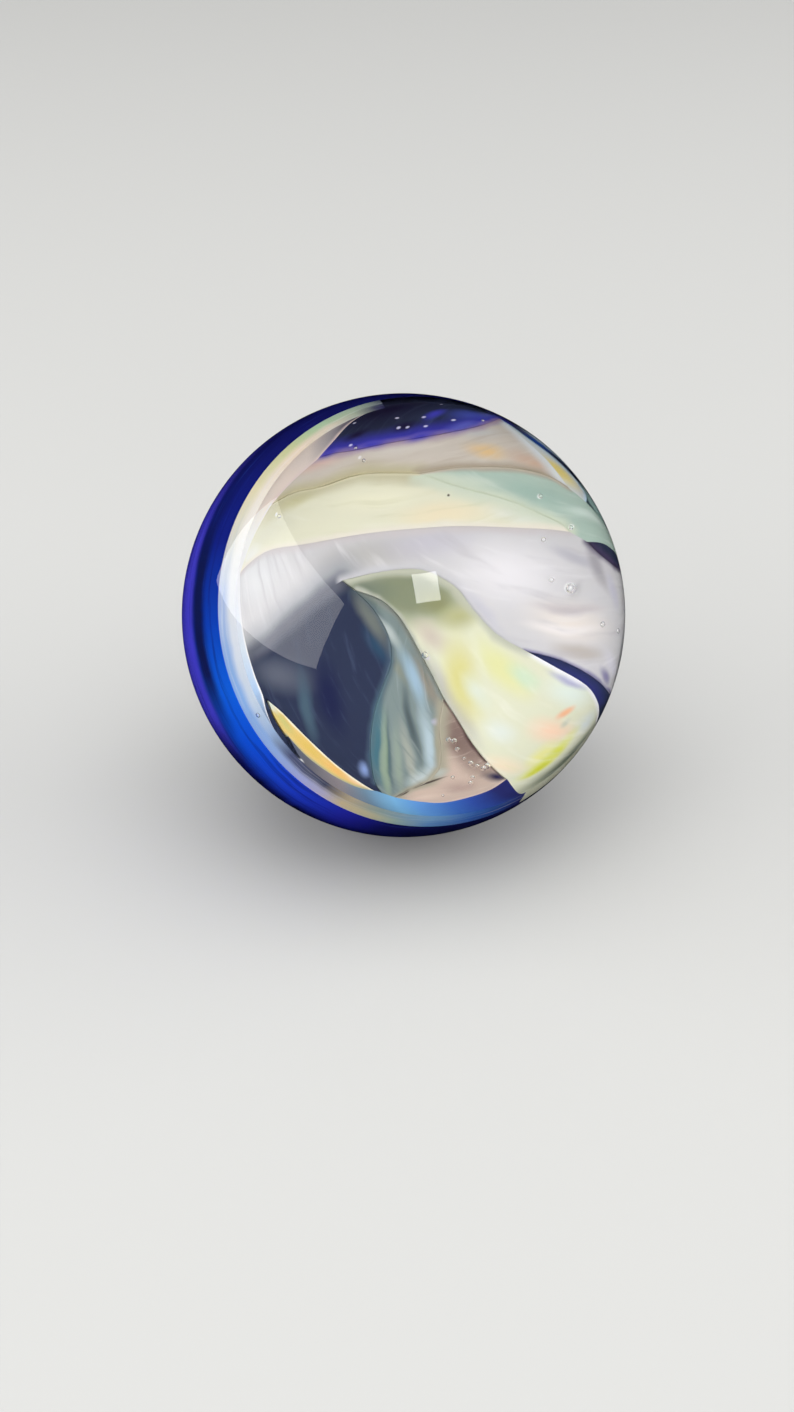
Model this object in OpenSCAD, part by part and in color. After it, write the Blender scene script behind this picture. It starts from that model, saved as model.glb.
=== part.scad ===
// Handmade glass marble: a clear ball with a cobalt cup inside it. The hollow of the
// cup is lined with ribbons of coloured glass and is seen through a clear window.

/* [Ball] */
// Diameter of the marble
ball_d = 28; // [18:0.5:50]
// Clear glass over the outside of the coloured cup
casing_t = 0.8; // [0.4:0.1:1.5]

/* [Cup] */
// Turn of the window from the front, towards the right, in degrees
window_turn = 23; // [-90:1:90]
// Rise of the window above level, in degrees
window_rise = 32; // [-20:1:90]
// Half angle of the cup's mouth, seen from the ball's centre, in degrees
mouth_angle = 73.5; // [66:0.5:82]
// Depth of the cup's floor behind the ball's centre
floor_drop = 4; // [2:0.5:6]

/* [Ribbons] */
// Rise of the cobalt between the ribbons, which nearly fills up to their tops
bare_t = 1; // [0.3:0.05:1.6]
// Thickness of the pale ribbon along the cup's rim
rim_t = 1.2; // [0.5:0.05:1.6]
// Thickness of the taupe ribbon
taupe_t = 1.05; // [0.5:0.05:1.6]
// Thickness of the straw yellow ribbon
straw_t = 1.1; // [0.5:0.05:1.6]
// Thickness of the teal ribbon
teal_t = 1.1; // [0.5:0.05:1.6]
// Thickness of the cream ribbon
cream_t = 1.15; // [0.5:0.05:1.6]
// Thickness of the pearl ribbon
pearl_t = 1.1; // [0.5:0.05:1.6]
// Thickness of the flame yellow ribbon
flame_t = 1.2; // [0.5:0.05:1.6]
// Thickness of the slate ribbon
slate_t = 1.05; // [0.5:0.05:1.6]
// Thickness of the rose ribbon
rose_t = 1.1; // [0.5:0.05:1.6]
// Thickness of the amber ribbon
amber_t = 1.1; // [0.5:0.05:1.6]

/* [Hidden] */
$fn = 96;

ball_r = ball_d / 2;
cup_r = ball_r - casing_t;

// The hollow is a part of a sphere through the cup's mouth and floor.
mouth_r = cup_r * sin(mouth_angle);
hollow_h = cup_r * cos(mouth_angle) + floor_drop;
hollow_r = (mouth_r ^ 2 + hollow_h ^ 2) / (2 * hollow_h);
hollow_z = hollow_r - floor_drop;

// The ribbons meet along seams, seen here along the window's axis with x to the right and y up,
// in hundredths of the mouth's radius. The pocket, the cap, the wedge and the gap are bare cobalt.
percent = mouth_r / 100;
bare_reach = 90;
seam_steps = 4;

// Points where three fields meet
rim_taupe = [-20, 61];
rim_cream = [-43, 50];
rim_pearl = [-64, 29];
rim_pocket = [-63, -2];
rim_amber = [-55, -35];
amber_end = [-24, -60];
slate_foot = [-21, -62];
rose_tip = [-18, -64];
flame_foot = [24, -62];
teal_tip = [19, 43];
taupe_tip = [50, 70];
teal_straw = [64, 30];
straw_foot = [70, 25];
cream_tip = [60, 15];
wedge_tip = [65, 11];
flame_tip = [-10, 15];
slate_tip = [-6, 11];
rose_top = [14, -28];
gap_tip = [41, -18];
// The amber ribbon's point, within the pocket
amber_tip = [-57, -20];
// Ends of seams that run out over the rim
rim_tip = [1, 102];
flame_rim = [27, -102];
teal_rim_top = [103, 13];
teal_rim_low = [103, 3];
pearl_rim_top = [103, -3];
pearl_rim_low = [84, -60];
flame_rim_top = [76, -80];
// Corners beyond the rim
far_left_up = [-130, 130];
far_left_down = [-130, -130];
far_right_up = [130, 130];
far_right = [130, -40];
far_right_down = [130, -130];

rim_seam_cap = [rim_tip, [-5, 92], [-10, 80], [-14, 69], rim_taupe];
rim_seam_taupe = [rim_taupe, [-31, 56], rim_cream];
rim_seam_cream = [rim_cream, [-55, 39], rim_pearl];
rim_seam_pearl = [rim_pearl, [-64, 14], rim_pocket];
rim_seam_pocket = [
    rim_pocket, [-62, -11], [-61, -18], [-64, -25], [-66, -34], [-63, -43], [-58, -47], [-56, -42], rim_amber
];
rim_seam_amber = [rim_amber, [-50, -44], [-42, -52], [-33, -58], amber_end];
rim_seam_rose = [rose_tip, [-10, -67], [-2, -69], [8, -68], [17, -66], flame_foot];
rim_seam_flame = [flame_foot, [25, -72], flame_rim];
taupe_seam_cap = [rim_taupe, [-12, 60], [-4, 58], [6, 57], [18, 56], [30, 56], [40, 58], [46, 63], taupe_tip];
taupe_seam_cream = [rim_cream, [-28, 50], [-16, 48], [0, 48], teal_tip];
taupe_seam_teal = [teal_tip, [32, 42], [47, 39], [57, 35], teal_straw];
taupe_seam_straw = [taupe_tip, [52, 60], [55, 51], [60, 41], teal_straw];
straw_seam_teal = [teal_straw, straw_foot];
straw_seam_cap = [straw_foot, [73, 30], [71, 37], [65, 45], [57, 54], [53, 64], taupe_tip];
teal_seam_cap = [straw_foot, [78, 19], [89, 15], teal_rim_top];
teal_seam_cream = [teal_tip, [32, 35], [45, 28], [53, 22], [58, 18], cream_tip];
teal_seam_pearl = [cream_tip, wedge_tip];
teal_seam_wedge = [wedge_tip, [71, 10], [81, 7], teal_rim_low];
cream_seam_pearl = [
    rim_pearl, [-43, 32], [-24, 30], [0, 28], [16, 26], [32, 23], [47, 19], [54, 17], cream_tip
];
pearl_seam_wedge = [wedge_tip, [69, 6], [75, 2], [83, 0], pearl_rim_top];
pearl_seam_pocket = [rim_pocket, [-47, 1], [-32, 6], [-19, 12], flame_tip];
pearl_seam_flame = [flame_tip, [4, 15], [16, 13], [25, 6], [29, -2], [34, -11], gap_tip];
pearl_seam_gap = [gap_tip, [50, -23], [59, -32], [66, -41], [73, -49], pearl_rim_low];
flame_seam_gap = [gap_tip, [48, -25], [56, -34], [60, -42], [63, -50], [67, -62], flame_rim_top];
flame_seam_pocket = [flame_tip, slate_tip];
slate_seam_pocket = [
    slate_tip, [-1, 4], [2, -5], [1, -13], [-3, -19], [-9, -27], [-14, -36], [-18, -46], [-21, -55], slate_foot
];
slate_seam_flame = [slate_tip, [1, 7], [6, 1], [9, -7], [12, -18], rose_top];
slate_seam_rose = [rose_top, [10, -36], [8, -44], [5, -51], [-1, -56], [-9, -59], rose_tip];
slate_seam_rim = [slate_foot, rose_tip];
rose_seam_flame = [rose_top, [16, -35], [18, -44], [21, -54], flame_foot];
amber_seam_pocket = [amber_tip, [-50, -25], [-42, -35], [-34, -47], [-28, -55], amber_end];
pocket_seam_rim = [amber_end, slate_foot];
amber_seam_gap = [amber_tip, [-57, -27], rim_amber];

// A seam of two points is straight, and one of more is a smooth curve through them.
// It leaves out its last point, where the next seam of an outline starts.
function curve(p) = len(p) == 2 ? [p[0]] : [
    for (i = [0 : len(p) - 2], k = [0 : seam_steps - 1])
        curve_point(p[max(i - 1, 0)], p[i], p[i + 1], p[min(i + 2, len(p) - 1)], k / seam_steps)
];
function curve_point(p0, p1, p2, p3, t) =
    (2 * p1 + (p2 - p0) * t + (2 * p0 - 5 * p1 + 4 * p2 - p3) * t ^ 2
        + (3 * p1 - p0 - 3 * p2 + p3) * t ^ 3) / 2;
function back(p) = [for (i = [len(p) - 1 : -1 : 0]) p[i]];
function outline(seams) = [for (s = seams) each curve(s)];

// Turns a shape from the window's own axes, z outwards, to its place in the ball
module at_window() {
    rotate([0, 0, window_turn])
        rotate([90 - window_rise, 0, 0])
            children();
}

module hollow(lining = 0) {
    translate([0, 0, hollow_z])
        sphere(hollow_r - lining);
}

// A layer on the hollow's wall, as thick as given, within an outline of seams
module ribbon(thickness, seams) {
    at_window()
        intersection() {
            difference() {
                hollow();
                hollow(thickness);
            }
            sphere(cup_r);
            linear_extrude(2 * ball_d, center = true)
                field(seams);
        }
}

module cobalt_glass() {
    color([0.11, 0.16, 0.55])
        at_window()
            difference() {
                sphere(cup_r);
                hollow(bare_t);
                intersection() {
                    hollow();
                    linear_extrude(2 * ball_d, center = true)
                        lined_fields();
                }
            }
}

// All but the bare cobalt, as seen along the window's axis. The cobalt's rise ends short of the rim.
module lined_fields() {
    difference() {
        square(2 * ball_d, center = true);
        intersection() {
            circle(bare_reach * percent);
            union() {
                field([
                    rim_seam_pocket, back(amber_seam_gap), amber_seam_pocket, pocket_seam_rim,
                    back(slate_seam_pocket), back(flame_seam_pocket), back(pearl_seam_pocket)
                ]);
                field([
                    rim_seam_cap, taupe_seam_cap, back(straw_seam_cap), teal_seam_cap,
                    [teal_rim_top, far_right_up], [far_right_up, rim_tip]
                ]);
                field([teal_seam_wedge, [teal_rim_low, pearl_rim_top], back(pearl_seam_wedge)]);
                field([pearl_seam_gap, [pearl_rim_low, flame_rim_top], back(flame_seam_gap)]);
            }
        }
    }
}

module field(seams) {
    polygon(outline(seams) * percent);
}

module rim_ribbon() {
    color([0.84, 0.89, 0.95])
        ribbon(rim_t, [
            rim_seam_cap, rim_seam_taupe, rim_seam_cream, rim_seam_pearl, rim_seam_pocket, rim_seam_amber,
            pocket_seam_rim, slate_seam_rim, rim_seam_rose, rim_seam_flame,
            [flame_rim, far_left_down], [far_left_down, far_left_up], [far_left_up, rim_tip]
        ]);
}

module taupe_ribbon() {
    color([0.7, 0.64, 0.6])
        ribbon(taupe_t, [
            taupe_seam_cap, taupe_seam_straw, back(taupe_seam_teal), back(taupe_seam_cream),
            back(rim_seam_taupe)
        ]);
}

module straw_ribbon() {
    color([0.88, 0.82, 0.52])
        ribbon(straw_t, [taupe_seam_straw, straw_seam_teal, straw_seam_cap]);
}

module teal_ribbon() {
    color([0.62, 0.75, 0.68])
        ribbon(teal_t, [
            taupe_seam_teal, straw_seam_teal, teal_seam_cap, [teal_rim_top, teal_rim_low],
            back(teal_seam_wedge), back(teal_seam_pearl), back(teal_seam_cream)
        ]);
}

module cream_ribbon() {
    color([0.88, 0.86, 0.7])
        ribbon(cream_t, [
            taupe_seam_cream, teal_seam_cream, back(cream_seam_pearl), back(rim_seam_cream)
        ]);
}

module pearl_ribbon() {
    color([0.82, 0.81, 0.84])
        ribbon(pearl_t, [
            cream_seam_pearl, teal_seam_pearl, pearl_seam_wedge, [pearl_rim_top, far_right],
            [far_right, pearl_rim_low], back(pearl_seam_gap), back(pearl_seam_flame),
            back(pearl_seam_pocket), back(rim_seam_pearl)
        ]);
}

module flame_ribbon() {
    color([0.87, 0.87, 0.58])
        ribbon(flame_t, [
            pearl_seam_flame, flame_seam_gap, [flame_rim_top, far_right_down], [far_right_down, flame_rim],
            back(rim_seam_flame), back(rose_seam_flame), back(slate_seam_flame), back(flame_seam_pocket)
        ]);
}

module slate_ribbon() {
    color([0.42, 0.52, 0.55])
        ribbon(slate_t, [slate_seam_flame, slate_seam_rose, back(slate_seam_rim), back(slate_seam_pocket)]);
}

module rose_ribbon() {
    color([0.72, 0.58, 0.55])
        ribbon(rose_t, [rose_seam_flame, back(rim_seam_rose), back(slate_seam_rose)]);
}

module amber_ribbon() {
    color([0.9, 0.7, 0.36])
        ribbon(amber_t, [amber_seam_pocket, back(rim_seam_amber), back(amber_seam_gap)]);
}

module clear_glass() {
    color([0.9, 0.94, 0.96, 0.4])
        difference() {
            sphere(ball_r);
            cobalt_glass();
            rim_ribbon();
            taupe_ribbon();
            straw_ribbon();
            teal_ribbon();
            cream_ribbon();
            pearl_ribbon();
            flame_ribbon();
            slate_ribbon();
            rose_ribbon();
            amber_ribbon();
        }
}

clear_glass();
cobalt_glass();
rim_ribbon();
taupe_ribbon();
straw_ribbon();
teal_ribbon();
cream_ribbon();
pearl_ribbon();
flame_ribbon();
slate_ribbon();
rose_ribbon();
amber_ribbon();
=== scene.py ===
"""Handmade glass marble: a clear ball over a cobalt cup lined with ribbons of coloured glass."""
import math

import bpy
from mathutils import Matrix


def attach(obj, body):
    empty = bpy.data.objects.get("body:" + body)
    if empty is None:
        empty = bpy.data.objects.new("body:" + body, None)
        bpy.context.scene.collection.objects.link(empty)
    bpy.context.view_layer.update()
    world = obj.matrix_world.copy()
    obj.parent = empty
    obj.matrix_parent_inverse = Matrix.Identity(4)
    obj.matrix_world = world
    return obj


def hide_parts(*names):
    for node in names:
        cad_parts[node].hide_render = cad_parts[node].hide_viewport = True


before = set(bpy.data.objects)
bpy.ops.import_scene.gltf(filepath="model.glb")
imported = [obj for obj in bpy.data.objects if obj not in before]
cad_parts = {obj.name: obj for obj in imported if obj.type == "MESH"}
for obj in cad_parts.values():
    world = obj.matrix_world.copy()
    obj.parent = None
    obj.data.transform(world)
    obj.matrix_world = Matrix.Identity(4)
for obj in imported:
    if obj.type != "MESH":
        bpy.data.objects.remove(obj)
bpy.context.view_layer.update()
scene = bpy.context.scene

# The ball, its cup and the bowl that the ribbons line, in millimetres as in the part's source.
MM = 0.001
BALL_R = 14.0
CUP_R = 13.2
MOUTH_ANGLE = math.radians(73.5)
PERCENT = CUP_R * math.sin(MOUTH_ANGLE) / 100
WINDOW_TURN = math.radians(23)
WINDOW_TILT = math.radians(58)
BOWL_Z = 10.21
BOWL_R = 14.21

# Distances from the ball's centre where one side of a glass turns into another, in millimetres.
RIM_FACE = (13.05, 13.18)
CUP_HOLLOW = (13.16, 13.02)

# Glass and the strokes that colour it.
GLASS_IOR = 1.5
GLASS_ROUGHNESS = 0.6
FLOW_WOBBLE = 0.35
FLOW_SCALE = 0.6
FLOW_DETAIL = 2
STREAK_DETAIL = 3
STREAK_ROUGHNESS = 0.55
STREAK_EDGE = 0.25
LINE_REACH = 0.6

# Places of the sockets of a Mix node that mixes colours.
MIX_BELOW, MIX_ABOVE, MIX_RESULT = 6, 7, 2


def tint(red, green, blue):
    """Linear colour, with alpha, of a display colour given from 0 to 255."""
    def linear(v):
        v /= 255
        return v / 12.92 if v <= 0.04045 else ((v + 0.055) / 1.055) ** 2.4
    return (linear(red), linear(green), linear(blue), 1.0)


def new_group(name, inputs, outputs):
    """A shader node group with named sockets. Returns it with its input and output nodes."""
    group = bpy.data.node_groups.new(name, "ShaderNodeTree")
    for socket, kind in inputs:
        group.interface.new_socket(socket, in_out="INPUT", socket_type="NodeSocket" + kind)
    for socket, kind in outputs:
        group.interface.new_socket(socket, in_out="OUTPUT", socket_type="NodeSocket" + kind)
    return group, group.nodes.new("NodeGroupInput"), group.nodes.new("NodeGroupOutput")


def math_node(tree, operation, a, b=None):
    """A Math node whose inputs are sockets or numbers. Returns its output."""
    node = tree.nodes.new("ShaderNodeMath")
    node.operation = operation
    for socket, value in zip(node.inputs, (a, b)):
        if value is None:
            continue
        if isinstance(value, (int, float)):
            socket.default_value = value
        else:
            tree.links.new(value, socket)
    return node.outputs[0]


def ramp_value(tree, value, low, high, smooth=True):
    """Maps a value from low..high to 0..1, clamped."""
    node = tree.nodes.new("ShaderNodeMapRange")
    node.interpolation_type = "SMOOTHSTEP" if smooth else "LINEAR"
    tree.links.new(value, node.inputs["Value"])
    for socket, bound in (("From Min", low), ("From Max", high)):
        if isinstance(bound, (int, float)):
            node.inputs[socket].default_value = bound
        else:
            tree.links.new(bound, node.inputs[socket])
    return node.outputs["Result"]


def vector_node(tree, operation, a, b=None):
    """A Vector Math node on sockets. Returns the node."""
    node = tree.nodes.new("ShaderNodeVectorMath")
    node.operation = operation
    tree.links.new(a, node.inputs[0])
    if b is not None:
        tree.links.new(b, node.inputs["Scale"] if operation == "SCALE" else node.inputs[1])
    return node


def bent_place(tree, given):
    """Place seen from a stroke: along and across it in units of its half size, without its bend."""
    offset = vector_node(tree, "SUBTRACT", given.outputs["Place"], given.outputs["Centre"]).outputs[0]
    along = vector_node(tree, "DOT_PRODUCT", offset, given.outputs["Along"]).outputs["Value"]
    across = vector_node(tree, "DOT_PRODUCT", offset, given.outputs["Across"]).outputs["Value"]
    bend = math_node(tree, "MULTIPLY", math_node(tree, "MULTIPLY", along, along), given.outputs["Sag"])
    unbent = math_node(tree, "SUBTRACT", across, bend)
    straight = tree.nodes.new("ShaderNodeCombineXYZ")
    tree.links.new(along, straight.inputs[0])
    tree.links.new(unbent, straight.inputs[1])
    return straight.outputs[0]


STROKE_SOCKETS = [("Place", "Vector"), ("Centre", "Vector"), ("Along", "Vector"), ("Across", "Vector"),
                  ("Sag", "Float")]


def make_brush_stroke():
    """Mask of one soft stroke of colour: 1 in its middle, 0 beyond its half length and half width."""
    group, given, out = new_group("brush_stroke", STROKE_SOCKETS + [("Core", "Float"), ("Strength", "Float")],
                                  [("Mask", "Float")])
    place = bent_place(group, given)
    length = group.nodes.new("ShaderNodeVectorMath")
    length.operation = "LENGTH"
    group.links.new(place, length.inputs[0])
    mask = group.nodes.new("ShaderNodeMapRange")
    mask.interpolation_type = "SMOOTHSTEP"
    group.links.new(length.outputs["Value"], mask.inputs["Value"])
    group.links.new(given.outputs["Core"], mask.inputs["From Min"])
    mask.inputs["From Max"].default_value = 1
    mask.inputs["To Min"].default_value = 1
    mask.inputs["To Max"].default_value = 0
    share = math_node(group, "MULTIPLY", mask.outputs["Result"], given.outputs["Strength"])
    group.links.new(share, out.inputs[0])
    return group


def make_drawn_streaks():
    """Mask of fine streaks drawn out along a bent flow, from the pull of the hot glass."""
    group, given, out = new_group("drawn_streaks", STROKE_SOCKETS + [("Low", "Float"), ("Strength", "Float")],
                                  [("Mask", "Float")])
    place = bent_place(group, given)
    noise = group.nodes.new("ShaderNodeTexNoise")
    noise.inputs["Scale"].default_value = 1
    noise.inputs["Detail"].default_value = STREAK_DETAIL
    noise.inputs["Roughness"].default_value = STREAK_ROUGHNESS
    group.links.new(place, noise.inputs["Vector"])
    mask = ramp_value(group, noise.outputs[0], given.outputs["Low"],
                      math_node(group, "ADD", given.outputs["Low"], STREAK_EDGE))
    group.links.new(math_node(group, "MULTIPLY", mask, given.outputs["Strength"]), out.inputs[0])
    return group


def make_flow_wobble():
    """Place pushed about a little, so that strokes get the uneven edges of flowing glass."""
    group, given, out = new_group(
        "flow_wobble", [("Place", "Vector"), ("Scale", "Float"), ("Amount", "Float")], [("Place", "Vector")])
    noise = group.nodes.new("ShaderNodeTexNoise")
    noise.inputs["Detail"].default_value = FLOW_DETAIL
    group.links.new(given.outputs["Place"], noise.inputs["Vector"])
    group.links.new(given.outputs["Scale"], noise.inputs["Scale"])
    centred = group.nodes.new("ShaderNodeVectorMath")
    centred.operation = "SUBTRACT"
    centred.inputs[1].default_value = (0.5, 0.5, 0.5)
    group.links.new(noise.outputs["Color"], centred.inputs[0])
    push = group.nodes.new("ShaderNodeVectorMath")
    push.operation = "SCALE"
    group.links.new(centred.outputs[0], push.inputs[0])
    group.links.new(given.outputs["Amount"], push.inputs["Scale"])
    total = group.nodes.new("ShaderNodeVectorMath")
    group.links.new(given.outputs["Place"], total.inputs[0])
    group.links.new(push.outputs[0], total.inputs[1])
    group.links.new(total.outputs[0], out.inputs[0])
    return group


def make_seam_line():
    """Mask of a soft line between two places: 1 on the line and 0 beyond its half width."""
    group, given, out = new_group(
        "seam_line", [("Place", "Vector"), ("Start", "Vector"), ("Way", "Vector"), ("Width", "Float")],
        [("Mask", "Float")])
    flat = group.nodes.new("ShaderNodeVectorMath")
    flat.operation = "MULTIPLY"
    flat.inputs[1].default_value = (1, 1, 0)
    group.links.new(given.outputs["Place"], flat.inputs[0])
    way = given.outputs["Way"]
    offset = vector_node(group, "SUBTRACT", flat.outputs[0], given.outputs["Start"]).outputs[0]
    share = math_node(group, "DIVIDE", vector_node(group, "DOT_PRODUCT", offset, way).outputs["Value"],
                      vector_node(group, "DOT_PRODUCT", way, way).outputs["Value"])
    nearest = vector_node(group, "SCALE", way, ramp_value(group, share, 0, 1, smooth=False)).outputs[0]
    gap = vector_node(group, "LENGTH", vector_node(group, "SUBTRACT", offset, nearest).outputs[0])
    near = ramp_value(group, gap.outputs["Value"], given.outputs["Width"], 0)
    group.links.new(near, out.inputs[0])
    return group


brush_stroke = make_brush_stroke()
drawn_streaks = make_drawn_streaks()
flow_wobble = make_flow_wobble()
seam_line = make_seam_line()


class Finish:
    """A colour of glass, laid up in soft strokes on the window's own axes in millimetres:
    x to the right, y up and z out of the window."""

    def __init__(self, name, base):
        self.material = bpy.data.materials.new(name)
        self.material.use_nodes = True
        self.tree = self.material.node_tree
        self.shader = self.tree.nodes["Principled BSDF"]
        self.shader.inputs["Roughness"].default_value = GLASS_ROUGHNESS
        self.shader.inputs["Specular IOR Level"].default_value = 0
        source = self.tree.nodes.new("ShaderNodeTexCoord")
        axes = self.tree.nodes.new("ShaderNodeMapping")
        axes.vector_type = "TEXTURE"
        axes.inputs["Rotation"].default_value = (WINDOW_TILT, 0, WINDOW_TURN)
        axes.inputs["Scale"].default_value = (MM, MM, MM)
        self.tree.links.new(source.outputs["Object"], axes.inputs["Vector"])
        self.plain = axes.outputs[0]
        pushed = self.tree.nodes.new("ShaderNodeGroup")
        pushed.node_tree = flow_wobble
        pushed.inputs["Scale"].default_value = FLOW_SCALE
        pushed.inputs["Amount"].default_value = FLOW_WOBBLE
        self.tree.links.new(self.plain, pushed.inputs["Place"])
        self.place = pushed.outputs[0]
        start = self.tree.nodes.new("ShaderNodeRGB")
        start.outputs[0].default_value = tint(*base)
        self.colour = start.outputs[0]

    def mix(self, mask, colour):
        """Lays a colour, a display colour or a socket, over what is there where the mask is."""
        node = self.tree.nodes.new("ShaderNodeMix")
        node.data_type = "RGBA"
        if isinstance(mask, (int, float)):
            node.inputs[0].default_value = mask
        else:
            self.tree.links.new(mask, node.inputs[0])
        self.tree.links.new(self.colour, node.inputs[MIX_BELOW])
        if isinstance(colour, tuple):
            node.inputs[MIX_ABOVE].default_value = tint(*colour)
        else:
            self.tree.links.new(colour, node.inputs[MIX_ABOVE])
        self.colour = node.outputs[MIX_RESULT]

    def lay(self, mask, colour, within):
        """Lays a colour where the mask is, and where it is given only within another mask."""
        if within is not None:
            mask = math_node(self.tree, "MULTIPLY", mask, within)
        self.mix(mask, colour)

    def _placed(self, group, x, y, length, width, turn, sag, place=None):
        """A stroke's group about a place, with its half length, half width, turn in degrees and sag."""
        node = self.tree.nodes.new("ShaderNodeGroup")
        node.node_tree = group
        self.tree.links.new(place or self.place, node.inputs["Place"])
        cosine, sine = math.cos(math.radians(turn)), math.sin(math.radians(turn))
        node.inputs["Centre"].default_value = (x, y, 0)
        node.inputs["Along"].default_value = (cosine / length, sine / length, 0)
        node.inputs["Across"].default_value = (-sine / width, cosine / width, 0)
        node.inputs["Sag"].default_value = sag / width
        return node

    def dab(self, colour, x, y, length, width, turn=0, sag=0, core=0.0, strength=1.0, within=None):
        """A soft patch of colour about a place, with its half length, half width and turn in degrees."""
        node = self._placed(brush_stroke, x, y, length, width, turn, sag)
        node.inputs["Core"].default_value = core
        node.inputs["Strength"].default_value = strength
        self.lay(node.outputs[0], colour, within)

    def line(self, colour, start, end, width, sag=0, core=0.1, strength=1.0, within=None):
        """A drawn line of colour from one place to another, bent by the sag, with its half width."""
        across, up = end[0] - start[0], end[1] - start[1]
        turn = math.degrees(math.atan2(up, across))
        centre = [(a + b) / 2 for a, b in zip(start, end)]
        lean = math.radians(turn + 90)
        self.dab(colour, centre[0] - sag * math.cos(lean) / 2, centre[1] - sag * math.sin(lean) / 2,
                 math.hypot(across, up) * LINE_REACH, width, turn, sag, core, strength, within)

    def seam(self, colour, name, width, within=None, exact=False):
        """A soft line of colour along a seam, with its half width. An exact one doesn't wander."""
        points = [(x * PERCENT, y * PERCENT, 0) for x, y in SEAMS[name]]
        mask = None
        for start, end in zip(points, points[1:]):
            node = self.tree.nodes.new("ShaderNodeGroup")
            node.node_tree = seam_line
            self.tree.links.new(self.plain if exact else self.place, node.inputs["Place"])
            node.inputs["Start"].default_value = start
            node.inputs["Way"].default_value = [b - a for a, b in zip(start, end)]
            node.inputs["Width"].default_value = width
            mask = math_node(self.tree, "MAXIMUM", mask, node.outputs[0]) if mask else node.outputs[0]
        self.lay(mask, colour, within)

    def streaks(self, colour, x, y, length, width, turn=0, sag=0, low=0.45, strength=0.5, within=None):
        """Fine drawn streaks all over, with the length and width of one streak."""
        node = self._placed(drawn_streaks, x, y, length, width, turn, sag)
        node.inputs["Low"].default_value = low
        node.inputs["Strength"].default_value = strength
        self.lay(node.outputs[0], colour, within)

    def round_streaks(self, colour, length, width, low, strength, within):
        """Fine drawn streaks round the window's axis, with the length and width of one streak."""
        way_round = math_node(self.tree, "MULTIPLY", self.bearing(), 2 * math.pi * CUP_R)
        way_out = self.parts(self.place)[2]
        rolled = self.tree.nodes.new("ShaderNodeCombineXYZ")
        self.tree.links.new(way_round, rolled.inputs[0])
        self.tree.links.new(way_out, rolled.inputs[1])
        node = self._placed(drawn_streaks, 0, 0, length, width, 0, 0, rolled.outputs[0])
        node.inputs["Low"].default_value = low
        node.inputs["Strength"].default_value = strength
        self.lay(node.outputs[0], colour, within)

    def depth(self, low, high):
        """Mask that goes from 0 to 1 between two distances from the ball's centre."""
        node = self.tree.nodes.new("ShaderNodeVectorMath")
        node.operation = "LENGTH"
        self.tree.links.new(self.plain, node.inputs[0])
        return ramp_value(self.tree, node.outputs["Value"], low, high)

    def parts(self, place=None):
        """The window's x, y and z of a place."""
        node = self.tree.nodes.new("ShaderNodeSeparateXYZ")
        self.tree.links.new(place or self.plain, node.inputs[0])
        return node.outputs

    def bearing(self):
        """Way round the window's axis from 0 to 1: 0.25 is the top, 0.5 the left, 0.75 the bottom."""
        x, y, _ = self.parts(self.place)
        angle = math_node(self.tree, "ARCTAN2", math_node(self.tree, "MULTIPLY", y, -1),
                          math_node(self.tree, "MULTIPLY", x, -1))
        return ramp_value(self.tree, angle, -math.pi, math.pi, smooth=False)

    def round_ramp(self, stops):
        """Colours that follow one another round the window's axis, each with its degrees below the left."""
        bearing = self.bearing()
        node = self.tree.nodes.new("ShaderNodeValToRGB")
        ramp = node.color_ramp
        while len(ramp.elements) > 1:
            ramp.elements.remove(ramp.elements[0])
        for i, (degrees, colour) in enumerate(stops):
            at = degrees / 360 + 0.5
            if i:
                stop = ramp.elements.new(at)
            else:
                stop = ramp.elements[0]
                stop.position = at
            stop.color = tint(*colour)
        self.tree.links.new(bearing, node.inputs[0])
        return node.outputs[0]

    def done(self):
        """The finished material."""
        self.tree.links.new(self.colour, self.shader.inputs["Base Color"])
        return self.material


# Painted sparkles: white specks of highlight in the dark cap, in window millimetres.
CAP_PAINTED_SPARKLES = [(1.5, 8.7), (1.6, 8.0), (2.0, 7.9), (2.7, 8.4), (2.8, 7.7), (4.0, 7.9), (-0.8, 9.5),
              (3.5, 10.2), (-0.6, 7.7)]

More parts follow.
